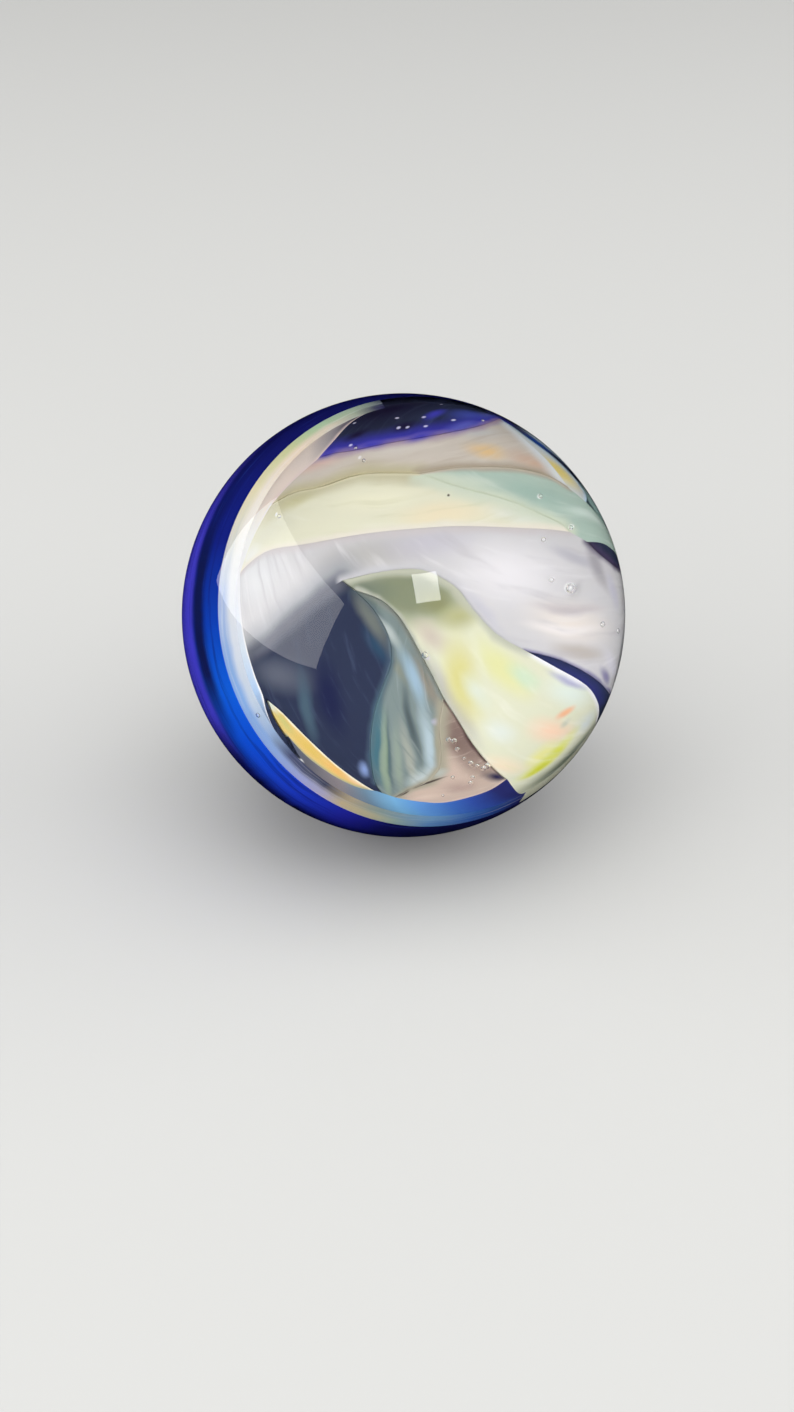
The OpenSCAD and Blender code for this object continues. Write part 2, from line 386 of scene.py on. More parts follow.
# Seams between the glasses, seen along the window's axis, in hundredths of the mouth's radius.
SEAMS = {
    "rim_cap": [(1, 102), (-5, 92), (-10, 80), (-14, 69), (-20, 61)],
    "rim_taupe": [(-20, 61), (-31, 56), (-43, 50)],
    "rim_cream": [(-43, 50), (-55, 39), (-64, 29)],
    "rim_pearl": [(-64, 29), (-64, 14), (-63, -2)],
    "rim_pocket": [(-63, -2), (-62, -11), (-61, -18), (-64, -25), (-66, -34), (-63, -43), (-58, -47)],
    "rim_amber": [(-55, -35), (-50, -44), (-42, -52), (-33, -58), (-24, -60)],
    "rim_rose": [(-18, -64), (-10, -67), (-2, -69), (8, -68), (17, -66), (24, -62)],
    "taupe_cap": [(-20, 61), (-12, 60), (-4, 58), (6, 57), (18, 56), (30, 56), (40, 58), (46, 63), (50, 70)],
    "taupe_cream": [(-43, 50), (-28, 50), (-16, 48), (0, 48), (19, 43)],
    "taupe_teal": [(19, 43), (32, 42), (47, 39), (57, 35), (64, 30)],
    "taupe_straw": [(50, 70), (52, 60), (55, 51), (60, 41), (64, 30)],
    "straw_cap": [(70, 25), (73, 30), (71, 37), (65, 45), (57, 54), (53, 64), (50, 70)],
    "teal_cream": [(19, 43), (32, 35), (45, 28), (53, 22), (58, 18), (60, 15)],
    "cream_pearl": [(-64, 29), (-43, 32), (-24, 30), (0, 28), (16, 26), (32, 23), (47, 19), (60, 15)],
    "pearl_pocket": [(-63, -2), (-47, 1), (-32, 6), (-19, 12), (-10, 15)],
    "pearl_flame": [(-10, 15), (4, 15), (16, 13), (25, 6), (29, -2), (34, -11), (41, -18)],
    "pearl_wedge": [(65, 11), (69, 6), (75, 2), (83, 0), (103, -3)],
    "pearl_gap": [(41, -18), (50, -23), (59, -32), (66, -41), (73, -49), (84, -60)],
    "flame_gap": [(41, -18), (48, -25), (56, -34), (60, -42), (63, -50), (67, -62), (76, -80)],
    "slate_pocket": [(-6, 11), (-1, 4), (2, -5), (1, -13), (-3, -19), (-9, -27), (-14, -36), (-18, -46),
                     (-21, -55)],
    "slate_flame": [(-6, 11), (1, 7), (6, 1), (9, -7), (12, -18), (14, -28)],
    "slate_rose": [(14, -28), (10, -36), (8, -44), (5, -51), (-1, -56), (-9, -59), (-18, -64)],
    "rose_flame": [(14, -28), (16, -35), (18, -44), (21, -54), (24, -62)],
    "amber_pocket": [(-57, -20), (-50, -25), (-42, -35), (-34, -47), (-28, -55), (-24, -60)],
}


def pearl_finish():
    f = Finish("pearl_glass", (216, 214, 216))
    f.dab((232, 232, 234), -6.3, 3.0, 3.2, 1.6)
    # Painted shade: a grey and a lilac patch on the pearl just under the cream's edge.
    f.dab((190, 188, 184), 0.2, 2.7, 3.8, 1.0, -4, strength=0.8)
    f.dab((206, 202, 216), 2.4, 2.6, 2.8, 0.9, -8, strength=0.6)
    f.dab((242, 239, 242), 5.2, 0.8, 3.0, 1.9, -25)
    f.dab((200, 198, 214), 3.9, -0.6, 2.0, 0.6, -65, strength=0.8)
    f.dab((240, 231, 224), 7.0, -1.6, 2.4, 1.2, -30)
    f.line((198, 190, 184), (6.0, -2.2), (8.2, -3.4), 0.5)
    f.line((206, 198, 200), (5.6, -0.6), (8.6, -1.5), 0.3, 0.1)
    f.line((244, 238, 236), (5.2, -1.2), (8.4, -2.3), 0.3, 0.1)
    f.line((196, 194, 202), (6.6, 1.5), (8.8, 0.2), 0.35, 0.1)
    f.line((176, 172, 178), (8.3, 1.8), (8.7, -1.0), 0.4, 0.2)
    f.line((206, 204, 216), (8.8, 0.2), (9.2, -1.8), 0.4)
    f.line((228, 226, 236), (8.0, -3.0), (9.4, -5.2), 0.5)
    f.line((150, 145, 180), (7.8, -3.6), (8.5, -5.0), 0.3)
    f.line((150, 151, 152), (10.1, -2.4), (9.6, -6.4), 0.7)
    f.streaks((194, 190, 195), 6, 0, 3.5, 0.6, -28, 0.6, 0.5, 0.5)
    f.streaks((246, 244, 246), 6, 3, 3.5, 0.5, -28, 0.6, 0.54, 0.5)
    # Painted highlight: a white spot on the pearl behind the seed bubble there.
    f.dab((255, 255, 255), 7.2, -0.25, 0.26, 0.24, core=0.5)
    f.seam((160, 163, 170), "pearl_pocket", 1.5)
    f.seam((112, 115, 128), "pearl_pocket", 0.6)
    f.seam((212, 205, 206), "cream_pearl", 0.4)
    f.seam((208, 207, 212), "pearl_flame", 0.4)
    f.seam((140, 136, 172), "pearl_gap", 0.2)
    f.seam((120, 112, 132), "pearl_wedge", 0.3)
    return f.done()


def flame_finish():
    f = Finish("flame_glass", (228, 229, 203))
    low_part = ramp_value(f.tree, f.parts()[1], -0.6, -2.6)
    f.dab((140, 147, 121), 1.4, 0.9, 3.4, 1.9, -14, core=0.25)
    f.dab((122, 132, 116), -0.4, 1.3, 1.8, 0.8, -15)
    f.dab((148, 151, 112), 2.4, 0.2, 1.2, 0.9, -30)
    f.dab((188, 188, 140), 3.1, -0.5, 1.2, 0.8)
    f.dab((210, 199, 184), 1.9, -1.0, 1.3, 0.7, -55)
    f.line((194, 192, 186), (1.4, -1.2), (2.6, -6.2), 0.6)
    f.line((220, 214, 142), (2.8, -0.9), (2.5, -5.0), 0.95)
    f.line((230, 230, 170), (3.4, -1.2), (5.0, -4.4), 0.85)
    f.dab((226, 232, 214), 3.05, -3.5, 1.2, 0.6, -78)
    f.dab((230, 236, 226), 3.45, -5.35, 1.0, 0.75, -60)
    f.line((212, 230, 200), (4.4, -2.6), (5.4, -4.0), 0.55)
    f.dab((230, 240, 230), 6.4, -4.4, 1.6, 0.9, -45)
    f.dab((250, 216, 188), 5.4, -5.9, 1.5, 0.9, -30)
    f.line((246, 190, 150), (5.6, -5.4), (6.5, -5.0), 0.25)
    f.dab((196, 202, 184), 6.0, -5.7, 0.4, 0.22, 30, strength=0.7)
    f.dab((246, 229, 200), 3.0, -7.0, 1.6, 0.8, -30)
    f.dab((238, 235, 150), 4.7, -7.0, 1.3, 0.6, 35)
    f.dab((222, 230, 228), 7.1, -6.4, 1.0, 1.0)
    f.line((104, 114, 98), (2.6, -10.4), (9.2, -7.0), 1.7, 0.9)
    f.line((228, 231, 98), (3.3, -8.4), (6.6, -6.3), 0.6, 0.3, core=0.2)
    f.line((216, 220, 76), (3.6, -8.3), (5.2, -7.5), 0.3, 0.1)
    f.streaks((250, 250, 240), 4, -4, 2.6, 0.7, -58, 0.4, 0.5, 0.35, within=low_part)
    f.streaks((224, 226, 180), 3, -4, 2.8, 0.6, -64, 0.4, 0.54, 0.3, within=low_part)
    f.dab((224, 216, 238), 1.45, -1.8, 0.3, 0.25)
    f.line((184, 184, 212), (5.7, -3.2), (7.2, -4.6), 0.28)
    # Painted highlight: a white line along the flame's edge by the dark gap.
    f.seam((250, 250, 255), "flame_gap", 0.26)
    f.seam((188, 190, 176), "slate_flame", 0.22)
    f.seam((196, 198, 180), "pearl_flame", 0.4)
    return f.done()


def cream_finish():
    f = Finish("cream_glass", (238, 236, 211))
    f.dab((230, 229, 206), -5.0, 5.0, 2.8, 1.1, 5)
    f.dab((244, 244, 236), -6.8, 4.2, 1.6, 0.9)
    f.dab((214, 209, 172), -4.8, 5.8, 2.4, 0.7, 6, strength=0.8)
    f.line((208, 204, 152), (-5.4, 6.4), (-1.4, 6.1), 0.7, 0.2)
    f.dab((248, 245, 218), 0.6, 4.9, 3.0, 0.8, -9)
    f.line((246, 234, 202), (1.0, 4.0), (5.2, 3.3), 0.8, 0.15)
    f.line((222, 226, 202), (1.5, 5.5), (4.8, 4.6), 0.5)
    f.line((236, 238, 224), (4.6, 3.5), (7.6, 2.2), 0.5)
    f.streaks((216, 214, 176), 0, 5, 4.5, 0.4, -9, 0.5, 0.5, 0.45)
    f.streaks((252, 250, 238), 0, 4, 4.0, 0.35, -9, 0.5, 0.55, 0.45)
    f.seam((210, 204, 170), "taupe_cream", 0.6)
    f.seam((220, 228, 208), "teal_cream", 0.6)
    f.dab((104, 100, 86), 3.5, 4.3, 0.08, 0.08, core=0.3)
    # Painted highlight: a white spot behind the seed bubble there.
    f.dab((255, 255, 250), -4.8, 5.6, 0.14, 0.14, core=0.4)
    f.seam((243, 237, 222), "cream_pearl", 0.35)
    # Painted light: a thin lighter line exactly on the step to the taupe, which lightens the shade along the
    # step's wall.
    f.seam((226, 220, 190), "taupe_cream", 0.12, exact=True)
    return f.done()


def ragged_edge(f, within=None):
    """The violet tongues along the dark cap's lower edge, which run over two glasses."""
    f.dab((88, 82, 196), -1.8, 7.75, 1.0, 0.36, -6, within=within)
    f.dab((82, 78, 198), 0.4, 7.35, 1.2, 0.36, -6, within=within)
    f.dab((86, 82, 198), 2.6, 7.15, 1.0, 0.34, 4, within=within)
    f.dab((102, 106, 206), 4.4, 7.45, 1.2, 0.45, 15, within=within)


def taupe_finish():
    f = Finish("taupe_glass", (222, 212, 200))
    f.dab((232, 200, 190), -2.4, 7.4, 2.4, 0.6, -5)
    f.dab((228, 220, 211), 1.6, 6.8, 2.4, 0.5, -6)
    f.dab((214, 213, 210), 4.8, 7.0, 1.8, 0.6, -10)
    f.dab((242, 208, 154), 5.1, 5.9, 1.3, 0.5, -25)
    f.dab((222, 192, 170), 6.8, 5.1, 1.5, 0.6, -38)
    f.dab((160, 170, 212), 5.4, 7.9, 1.1, 0.6, 20)
    f.streaks((204, 190, 174), 0, 6.6, 3.5, 0.3, -8, 0.4, 0.5, 0.5)
    f.streaks((234, 225, 214), 0, 7.2, 3.0, 0.25, -8, 0.4, 0.52, 0.5)
    f.seam((206, 198, 164), "taupe_cream", 0.7)
    f.seam((186, 172, 152), "taupe_teal", 0.45)
    f.seam((242, 247, 250), "taupe_straw", 0.7)
    f.seam((188, 166, 184), "taupe_cap", 0.45)
    ragged_edge(f)
    # Painted highlight: a white spot behind the seed bubble there.
    f.dab((250, 246, 244), -0.1, 6.8, 0.12, 0.12, core=0.4)
    # Painted light: thin lighter lines exactly on the steps to the cream and the teal, which lighten the
    # shade along the steps' walls.
    f.seam((226, 220, 190), "taupe_cream", 0.12, exact=True)
    f.seam((206, 196, 178), "taupe_teal", 0.1, exact=True)
    return f.done()


def teal_finish():
    f = Finish("teal_glass", (186, 208, 195))
    f.line((214, 226, 210), (2.8, 5.3), (5.6, 4.2), 0.4)
    f.line((174, 200, 188), (5.2, 4.4), (8.2, 3.0), 0.45)
    f.line((218, 234, 224), (7.4, 3.0), (9.8, 2.1), 0.35)
    f.streaks((224, 234, 223), 7, 3, 2.8, 0.3, -26, 0.4, 0.5, 0.5)
    f.streaks((166, 190, 179), 7, 4, 2.8, 0.3, -26, 0.4, 0.54, 0.5)
    f.seam((190, 182, 166), "taupe_teal", 0.25)
    f.seam((220, 228, 208), "teal_cream", 0.5)
    # Painted light: a thin lighter line exactly on the step to the taupe, which lightens the shade along the
    # step's wall.
    f.seam((206, 196, 178), "taupe_teal", 0.1, exact=True)
    # Painted highlights: white spots behind the two seed bubbles there.
    f.dab((250, 255, 250), 6.8, 3.6, 0.14, 0.14, core=0.4)
    f.dab((250, 255, 250), 7.7, 2.1, 0.14, 0.14, core=0.4)
    return f.done()


def straw_finish():
    f = Finish("straw_glass", (226, 230, 226))
    f.line((246, 226, 140), (7.0, 5.7), (8.9, 3.8), 0.7)
    f.line((232, 216, 204), (5.6, 7.6), (6.8, 5.8), 0.3)
    f.seam((206, 232, 250), "straw_cap", 0.3)
    return f.done()


def amber_finish():
    f = Finish("amber_glass", (238, 204, 124))
    f.dab((214, 203, 128), -6.6, -3.6, 1.3, 0.6, -55)
    f.dab((234, 200, 106), -5.6, -5.0, 1.4, 0.6, -52)
    f.dab((248, 196, 116), -4.6, -6.2, 1.2, 0.5, -50)
    f.dab((250, 214, 168), -3.8, -6.9, 0.9, 0.4, -45)
    f.seam((176, 182, 156), "rim_amber", 0.4)
    f.seam((250, 244, 220), "amber_pocket", 0.2)
    f.dab((226, 230, 212), -7.1, -2.8, 0.7, 0.4, -40)
    f.streaks((255, 230, 164), -5, -5.5, 2.0, 0.2, -50, 0.2, 0.52, 0.4)
    return f.done()


def lens_line(f):
    """The fine dark line along the top of the rose lens, which runs over two glasses."""
    f.line((84, 74, 70), (-2.3, -8.05), (-1.1, -7.4), 0.09, core=0.3)
    f.line((84, 74, 70), (-1.3, -7.5), (0.8, -6.95), 0.08, -0.12, core=0.3)


def rose_finish():
    f = Finish("rose_glass", (210, 188, 174))
    f.line((136, 115, 108), (1.2, -2.8), (2.5, -7.6), 1.2)
    f.dab((190, 166, 156), 1.0, -7.7, 1.3, 0.6)
    f.dab((226, 204, 189), -0.9, -8.0, 1.6, 0.5)
    f.streaks((226, 208, 194), 0, -7.6, 1.8, 0.25, 0, 0.2, 0.52, 0.4)
    f.seam((170, 165, 146), "slate_rose", 0.6)
    f.dab((186, 190, 182), 0.5, -6.75, 0.6, 0.35, 10)
    f.dab((214, 191, 176), -0.8, -7.75, 1.6, 0.4, 12)
    # Painted light: a thin lighter line exactly on the step to the slate, which lightens the shade along the
    # step's wall.
    f.seam((184, 176, 158), "slate_rose", 0.07, exact=True)
    lens_line(f)
    f.seam((96, 76, 74), "rose_flame", 0.16)
    f.dab((44, 42, 78), 2.7, -7.55, 0.85, 0.42, -35)
    f.seam((226, 204, 192), "rim_rose", 0.2)
    return f.done()


def fan_side(f, within=None):
    """The khaki and teal streaks along the left side of the fan, which run over two glasses."""
    f.line((116, 122, 118), (-0.9, 1.7), (0.2, -1.4), 0.5, -0.15, within=within)
    f.line((78, 118, 132), (-0.7, -2.7), (-2.6, -7.6), 0.42, 0.1, within=within)


def slate_finish():
    f = Finish("slate_glass", (132, 146, 145))
    f.dab((116, 127, 116), -0.3, 1.0, 1.2, 0.6, -45)
    f.line((150, 144, 132), (1.0, -1.4), (1.7, -4.4), 0.5)
    f.line((88, 100, 104), (0.45, -2.2), (-0.1, -6.4), 0.28)
    f.line((140, 146, 134), (0.0, -0.8), (0.5, -2.8), 0.25)
    f.line((168, 172, 162), (-0.1, -3.8), (-0.9, -8.0), 0.34)
    f.line((150, 164, 152), (-0.3, -3.8), (-1.9, -8.2), 0.32)
    f.line((82, 104, 110), (-0.6, -3.4), (-2.1, -7.6), 0.22)
    f.line((152, 174, 146), (-0.75, -3.4), (-2.6, -8.2), 0.3)
    f.line((162, 188, 206), (0.6, -1.0), (0.95, -4.0), 0.42, -0.15)
    f.line((184, 202, 210), (1.0, -3.3), (0.0, -7.6), 0.45, -0.1)
    f.dab((206, 217, 217), -0.3, -6.9, 1.4, 0.7, 25, strength=0.85)
    f.line((170, 166, 140), (1.2, -4.3), (0.8, -7.2), 0.34)
    f.dab((200, 196, 228), 1.2, -4.4, 0.28, 0.22)
    f.streaks((88, 112, 116), 0, -4, 3.0, 0.22, -80, 0.6, 0.52, 0.4)
    f.streaks((196, 208, 208), 0, -5, 3.0, 0.18, -82, 0.6, 0.56, 0.45)
    f.seam((92, 110, 120), "slate_pocket", 0.35)
    f.seam((170, 165, 146), "slate_rose", 0.35)
    f.seam((146, 152, 146), "slate_flame", 0.22)
    lens_line(f)
    # Painted light: thin lighter lines exactly on the steps to the pocket and the rose, which lighten the
    # shade along the steps' walls.
    f.seam((100, 124, 134), "slate_pocket", 0.08, exact=True)
    f.seam((184, 176, 158), "slate_rose", 0.07, exact=True)
    fan_side(f)
    f.line((184, 194, 192), (-0.3, 0.5), (0.7, -1.4), 0.32, -0.15)
    f.line((148, 164, 146), (-0.75, -3.4), (-2.6, -8.2), 0.24, strength=0.8)
    return f.done()


# Heights out of the window, in millimetres, between which a colour of the rim or the cup comes in.
INNER_FACE = (4.25, 4.95)
# The bright band and the violet band are painted light: brighter blue where light would shine through the
# thin cobalt.
LIT_THROUGH_BAND = (-1.2, 2.2)
VIOLET_BAND_TOP = (0.9, -0.4)
VIOLET_BAND_FOOT = (-8.0, -2.0)
DARK_LINE_FOOT = (0.1, 0.9)
DARK_LINE_TOP = (2.5, 1.5)

# Shares of a colour round the window's axis: black is none and white is all.
VIOLET_BAND_SIDE = [(-75, (0, 0, 0)), (-30, (255, 255, 255)), (14, (255, 255, 255)), (30, (0, 0, 0))]
DARK_LINE_SIDE = [(-60, (0, 0, 0)), (-24, (255, 255, 255)), (4, (255, 255, 255)), (22, (0, 0, 0))]


def rim_finish():
    f = Finish("pale_blue_glass", (205, 220, 245))
    lining = f.round_ramp([
        (-90, (36, 31, 58)), (-83, (44, 42, 84)), (-77, (176, 168, 172)), (-68, (246, 230, 220)),
        (-58, (254, 236, 224)),
        (-48, (253, 238, 226)), (-38, (255, 254, 248)), (-22, (246, 245, 252)), (0, (230, 240, 252)),
        (14, (184, 212, 248)), (26, (92, 110, 150)), (40, (104, 106, 118)), (54, (150, 142, 146)),
        (63, (120, 146, 168)), (73, (128, 188, 232)), (80, (104, 162, 230)), (90, (70, 116, 202)),
        (97, (56, 86, 178)), (106, (46, 50, 112)),
    ])
    face = f.round_ramp([
        (-91, (30, 30, 80)), (-86, (140, 154, 144)), (-80, (178, 196, 170)), (-70, (182, 212, 172)),
        (-60, (214, 218, 166)), (-45, (238, 229, 190)), (-30, (224, 224, 213)), (-14, (186, 203, 233)),
        (0, (160, 192, 236)), (12, (154, 194, 244)), (28, (162, 194, 242)), (40, (192, 198, 244)),
        (47, (210, 204, 230)), (52, (234, 214, 170)), (62, (220, 214, 178)), (68, (186, 212, 198)),
        (77, (120, 174, 232)), (90, (66, 114, 206)), (104, (44, 52, 128)),
    ])
    inner_face = f.round_ramp([
        (-90, (30, 30, 80)), (-86, (64, 64, 96)), (-80, (176, 184, 164)), (-72, (226, 216, 196)),
        (-60, (242, 222, 200)),
        (-45, (248, 238, 222)), (-30, (242, 241, 236)), (0, (230, 236, 243)), (14, (220, 233, 246)),
        (24, (176, 202, 236)), (32, (92, 100, 134)), (45, (84, 84, 104)), (53, (212, 194, 160)),
        (62, (170, 190, 184)), (77, (140, 192, 238)), (90, (72, 124, 212)), (104, (44, 52, 128)),
    ])
    f.mix(1.0, lining)
    for seam in ("rim_cap", "rim_taupe"):
        f.seam((248, 228, 222), seam, 0.4)
    # Painted highlight: a pure white line along the rim's inner edge by the cream, the pearl and the pocket.
    for seam in ("rim_cream", "rim_pearl", "rim_pocket"):
        f.seam((255, 255, 255), seam, 0.28)
    on_face = f.depth(*RIM_FACE)
    f.mix(on_face, face)
    toward_window = ramp_value(f.tree, f.parts(f.place)[2], *INNER_FACE)
    f.mix(math_node(f.tree, "MULTIPLY", on_face, toward_window), inner_face)
    f.round_streaks((246, 247, 250), 7.0, 0.22, 0.52, 0.4, within=on_face)
    f.round_streaks((150, 180, 232), 7.0, 0.3, 0.56, 0.35, within=on_face)
    return f.done()


def cobalt_finish():
    f = Finish("cobalt_glass", (20, 22, 78))
    tree = f.tree
    hollow = f.depth(*CUP_HOLLOW)
    outer = math_node(tree, "SUBTRACT", 1, hollow)
    out_of_window = f.parts(f.place)[2]
    f.streaks((30, 40, 164), 0, 0, 9.0, 1.6, 20, 0, 0.42, 0.8, within=outer)
    # Painted light: the outer cobalt toward the mouth is painted bright blue round the left and bottom, as
    # light shining through thin glass.
    lit_through_part = math_node(tree, "MULTIPLY", ramp_value(tree, out_of_window, *LIT_THROUGH_BAND), outer)
    painted_through_light = f.round_ramp([
        (-174, (24, 26, 80)), (-160, (110, 158, 200)), (-148, (84, 130, 206)), (-134, (44, 64, 190)),
        (-122, (32, 40, 142)), (-108, (20, 20, 84)), (-60, (24, 28, 108)), (-30, (24, 38, 138)),
        (-8, (20, 70, 190)), (10, (24, 106, 236)),
        (25, (24, 94, 238)), (42, (40, 76, 234)), (56, (44, 48, 186)), (68, (26, 28, 104)),
        (80, (24, 26, 80)),
    ])
    f.mix(lit_through_part, painted_through_light)
    # Painted light: the cup's left limb painted bright violet-blue, as light shining through its thin edge.
    left_side = f.round_ramp(VIOLET_BAND_SIDE)
    near_edge = math_node(tree, "MULTIPLY", ramp_value(tree, out_of_window, *VIOLET_BAND_TOP),
                          ramp_value(tree, out_of_window, *VIOLET_BAND_FOOT))
    f.lay(math_node(tree, "MULTIPLY", near_edge, left_side), (84, 78, 228), outer)
    dark_line = math_node(tree, "MULTIPLY", ramp_value(tree, out_of_window, *DARK_LINE_FOOT),
                          ramp_value(tree, out_of_window, *DARK_LINE_TOP))
    dark_side = f.round_ramp(DARK_LINE_SIDE)
    f.lay(math_node(tree, "MULTIPLY", dark_line, dark_side), (22, 32, 84), outer)
    f.round_streaks((24, 30, 96), 9.0, 0.5, 0.5, 0.6, within=outer)
    # Painted light: bright blue streaks in the lit-through part.
    f.round_streaks((60, 92, 224), 9.0, 0.35, 0.58, 0.5, within=lit_through_part)
    f.mix(hollow, (52, 59, 83))
    # Painted reflection: a grey veil over the top left of the bare hollow, as of a light mirrored in the
    # glass.
    f.dab((98, 103, 118), -5.6, -1.4, 3.0, 1.2, -12, within=hollow)
    f.line((84, 108, 124), (-4.1, -1.0), (-4.9, -5.0), 0.6, strength=0.8, within=hollow)
    f.line((38, 42, 76), (-2.9, -0.8), (-3.3, -4.6), 1.0, within=hollow)
    f.dab((54, 80, 106), -0.3, -1.0, 1.4, 0.5, -70, within=hollow)
    f.streaks((80, 92, 120), -4, -3, 2.6, 0.4, -78, 0.3, 0.52, 0.45, within=hollow)
    f.dab((140, 162, 212), -2.8, -6.1, 0.7, 0.42, 60, within=hollow)
    f.seam((112, 115, 128), "pearl_pocket", 0.7, within=hollow)
    f.seam((74, 90, 110), "slate_pocket", 0.3, within=hollow)
    # Painted light: a thin lighter line exactly on the slate's step, which lightens the shade along the
    # step's wall.
    f.seam((96, 116, 130), "slate_pocket", 0.08, within=hollow, exact=True)
    fan_side(f, within=hollow)
    f.seam((20, 20, 36), "amber_pocket", 0.25, within=hollow)
    f.dab((36, 31, 58), 0.8, 10.0, 3.8, 2.4, within=hollow)
    f.dab((80, 92, 190), 4.9, 8.4, 1.6, 1.2, within=hollow)
    f.dab((122, 138, 190), 6.0, 8.6, 1.0, 1.4, within=hollow)
    f.dab((92, 96, 124), 8.0, 8.0, 1.8, 1.6, within=hollow)
    f.dab((48, 88, 176), 7.8, 6.8, 1.3, 0.8, -45, within=hollow)
    f.dab((158, 190, 184), 9.7, 3.3, 1.7, 0.9, -65, core=0.3, within=hollow)
    f.line((196, 224, 246), (7.6, 8.9), (10.4, 5.4), 0.9, 0.4, core=0.3, within=hollow)
    f.seam((70, 66, 190), "taupe_cap", 1.2, within=hollow)
    f.dab((40, 34, 66), -0.4, 8.3, 0.9, 0.4, 10, within=hollow)
    f.dab((40, 34, 66), 1.9, 8.0, 0.8, 0.45, within=hollow)
    f.dab((78, 76, 205), 3.2, 8.6, 0.9, 0.5, 40, within=hollow)
    f.seam((150, 130, 184), "taupe_cap", 0.35, within=hollow)
    ragged_edge(f, within=hollow)
    # Painted highlights: the white sparkles in the dark cap.
    for x, y in CAP_PAINTED_SPARKLES:
        f.dab((226, 224, 255), x, y, 0.13, 0.1, core=0.3, within=hollow)
    f.seam((84, 74, 106), "pearl_wedge", 0.4, within=hollow)
    f.line((58, 62, 128), (5.2, -2.3), (8.6, -6.4), 0.8, within=hollow)
    return f.done()


FINISHES = {
    "cobalt_glass": cobalt_finish, "rim_ribbon": rim_finish, "taupe_ribbon": taupe_finish,
    "straw_ribbon": straw_finish, "teal_ribbon": teal_finish, "cream_ribbon": cream_finish,
    "pearl_ribbon": pearl_finish, "flame_ribbon": flame_finish, "slate_ribbon": slate_finish,
    "rose_ribbon": rose_finish, "amber_ribbon": amber_finish,
}
for node, finish in FINISHES.items():
    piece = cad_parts[node]
    piece.data.materials.clear()
    piece.data.materials.append(finish())


def clear_finish():
    """Clear, fire-polished glass."""
    material = bpy.data.materials.new("clear_glass")
    material.use_nodes = True
    shader = material.node_tree.nodes["Principled BSDF"]
    shader.inputs["Base Color"].default_value = (1, 1, 1, 1)
    shader.inputs["Roughness"].default_value = 0
    shader.inputs["IOR"].default_value = GLASS_IOR
    shader.inputs["Transmission Weight"].default_value = 1
    return material


def deselect_all():
    bpy.ops.object.select_all(action="DESELECT")


# Seed bubbles in the clear glass, each just in front of the lining: window x, window y and radius in mm.
BUBBLES = [
    (7.2, -0.3, 0.2), (6.6, 0.2, 0.1), (6.6, 1.8, 0.1), (8.2, -2.0, 0.12), (9.2, -2.6, 0.13),
    (1.3, -5.3, 0.11), (1.5, -5.4, 0.12), (1.5, -5.8, 0.1), (1.6, -6.3, 0.08), (1.8, -6.6, 0.12),
    (2.0, -6.8, 0.1), (2.2, -7.0, 0.12), (2.4, -6.9, 0.14), (0.8, -7.2, 0.09), (1.6, -7.4, 0.1),
    (1.4, -7.7, 0.1), (-0.1, -8.3, 0.07), (1.4, -1.7, 0.14), (-4.8, 5.6, 0.1), (6.8, 3.6, 0.1),
    (7.7, 2.1, 0.1), (-0.1, 6.8, 0.08), (-0.6, 7.7, 0.09), (5.2, 8.3, 0.1),
]
# Bubbles in the casing outside the cup: degrees below the left, window z and radius in mm.
CASING_BUBBLES = [(18, 5.2, 0.16), (36, -0.9, 0.13), (7, -1.9, 0.12)]
CASING_MIDDLE_R = 13.6
LINING_DEPTH = 1.45
BUBBLE_BOWL_R = BOWL_R - LINING_DEPTH
BUBBLE_SIDES = {"segments": 16, "ring_count": 10}
BALL_SIDES = {"segments": 256, "ring_count": 128}
TURNING_WAVE = 0.05
TURNING_SPAN = 12.0


def from_window(x, y, z):
    """Place in the frame, in metres, of a place on the window's axes in millimetres."""
    back = y * math.cos(WINDOW_TILT) - z * math.sin(WINDOW_TILT)
    up = y * math.sin(WINDOW_TILT) + z * math.cos(WINDOW_TILT)
    return ((x * math.cos(WINDOW_TURN) - back * math.sin(WINDOW_TURN)) * MM,
            (x * math.sin(WINDOW_TURN) + back * math.cos(WINDOW_TURN)) * MM, up * MM)


def make_bubbles():
    """The seed bubbles in one mesh, turned inside out because the glass is around them."""
    deselect_all()
    bpy.ops.mesh.primitive_uv_sphere_add(radius=BUBBLES[0][2] * MM, **BUBBLE_SIDES)
    bubbles = bpy.context.object
    bpy.ops.object.mode_set(mode="EDIT")
    bpy.ops.mesh.delete(type="VERT")
    places = [(x, y, BOWL_Z - math.sqrt(BUBBLE_BOWL_R ** 2 - x ** 2 - y ** 2), radius)
              for x, y, radius in BUBBLES]
    for below_left, z, radius in CASING_BUBBLES:
        turn, rho = math.radians(below_left), math.sqrt(CASING_MIDDLE_R ** 2 - z ** 2)
        places.append((-rho * math.cos(turn), -rho * math.sin(turn), z, radius))
    for x, y, z, radius in places:
        bpy.ops.mesh.primitive_uv_sphere_add(radius=radius * MM, location=from_window(x, y, z),
                                             **BUBBLE_SIDES)
    bpy.ops.mesh.select_all(action="SELECT")
    bpy.ops.mesh.flip_normals()
    bpy.ops.object.mode_set(mode="OBJECT")
    return bubbles


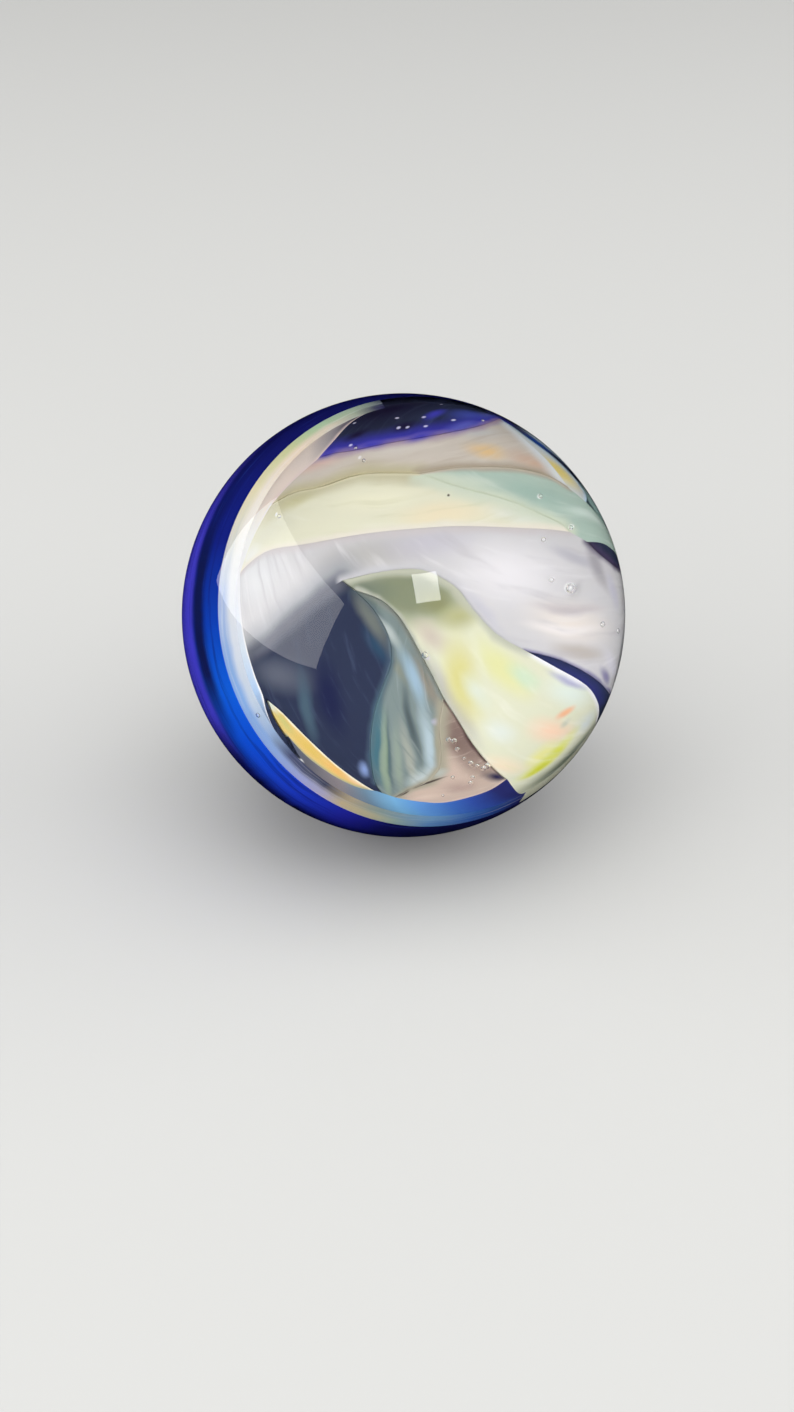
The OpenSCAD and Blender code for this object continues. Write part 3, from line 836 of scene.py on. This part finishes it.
def make_ball():
    """The clear ball, a little out of true from being turned by hand, with its seed bubbles."""
    deselect_all()
    bpy.ops.mesh.primitive_uv_sphere_add(radius=BALL_R * MM, **BALL_SIDES)
    ball = bpy.context.object
    ball.name = "glass_ball"
    turning = bpy.data.textures.new("hand_turning", "CLOUDS")
    turning.noise_scale = TURNING_SPAN * MM
    wave = ball.modifiers.new("hand_turning", "DISPLACE")
    wave.texture = turning
    wave.strength = TURNING_WAVE * MM
    bpy.ops.object.modifier_apply(modifier=wave.name)
    bubbles = make_bubbles()
    deselect_all()
    bubbles.select_set(True)
    ball.select_set(True)
    bpy.context.view_layer.objects.active = ball
    bpy.ops.object.join()
    bpy.ops.object.shade_smooth()
    ball.data.materials.append(clear_finish())
    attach(ball, "root")
    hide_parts("clear_glass")


make_ball()

# The floor, the light and the camera, in metres and degrees.
FLOOR_SIZE = 6
FLOOR_TINT = tint(182, 182, 180)
FLOOR_ROUGHNESS = 0.9
WORLD_STRENGTH = 0.72
CAMERA_LENS = 51.96
SENSOR_WIDTH = 36
CLIP_START = 0.01
CAMERA_PLACE = (0, -0.1122, 0.0648)
CAMERA_DOWN = 32.53
CAMERA_TURN = 0.21


def make_floor():
    """The pale floor, which the glass doesn't mirror."""
    deselect_all()
    bpy.ops.mesh.primitive_plane_add(size=FLOOR_SIZE, location=(0, 0, -BALL_R * MM))
    floor = bpy.context.object
    floor.name = "floor"
    material = bpy.data.materials.new("pale_floor")
    material.use_nodes = True
    shader = material.node_tree.nodes["Principled BSDF"]
    shader.inputs["Base Color"].default_value = FLOOR_TINT
    shader.inputs["Roughness"].default_value = FLOOR_ROUGHNESS
    shader.inputs["Specular IOR Level"].default_value = 0
    floor.data.materials.append(material)
    floor.visible_glossy = False


def make_world():
    """Even light from all round, which the glass doesn't mirror."""
    world = bpy.data.worlds.new("studio")
    scene.world = world
    world.use_nodes = True
    background = world.node_tree.nodes["Background"]
    background.inputs["Color"].default_value = (1, 1, 1, 1)
    background.inputs["Strength"].default_value = WORLD_STRENGTH
    world.cycles_visibility.glossy = False


make_floor()
make_world()


def softbox(name, azimuth, elevation, distance, width, height, radiance, mirrored=True):
    """A rectangular lamp that faces the ball, of an even brightness on its face."""
    data = bpy.data.lights.new(name, "AREA")
    data.shape = "RECTANGLE"
    data.size = width
    data.size_y = height
    data.energy = radiance * math.pi * width * height
    lamp = bpy.data.objects.new(name, data)
    scene.collection.objects.link(lamp)
    az, el = math.radians(azimuth), math.radians(elevation)
    lamp.location = (distance * math.cos(el) * math.sin(az), -distance * math.cos(el) * math.cos(az),
                     distance * math.sin(el))
    lamp.rotation_euler = (math.pi / 2 - el, 0, az)
    lamp.visible_camera = False
    lamp.visible_glossy = mirrored
    return lamp


softbox("left_softbox", azimuth=-78, elevation=19, distance=0.36, width=0.56, height=0.28, radiance=2.6)
softbox("right_softbox", azimuth=90, elevation=22, distance=0.36, width=0.50, height=0.30, radiance=2.2,
        mirrored=False)
softbox("ceiling_softbox", azimuth=0, elevation=78, distance=0.31, width=0.34, height=0.34, radiance=1.8,
        mirrored=False)
softbox("front_softbox", azimuth=0, elevation=6, distance=0.45, width=0.60, height=0.30, radiance=1.6,
        mirrored=False)
key = softbox("key_card", azimuth=15, elevation=43, distance=0.40, width=0.085, height=0.10, radiance=9.0)
key.visible_diffuse = False
key.visible_transmission = False

camera_data = bpy.data.cameras.new("camera")
camera_data.lens = CAMERA_LENS
camera_data.sensor_width = SENSOR_WIDTH
camera_data.clip_start = CLIP_START
camera = bpy.data.objects.new("camera", camera_data)
scene.collection.objects.link(camera)
camera.location = CAMERA_PLACE
camera.rotation_euler = (math.radians(90 - CAMERA_DOWN), 0, math.radians(CAMERA_TURN))
scene.camera = camera

scene.view_settings.view_transform = "Standard"
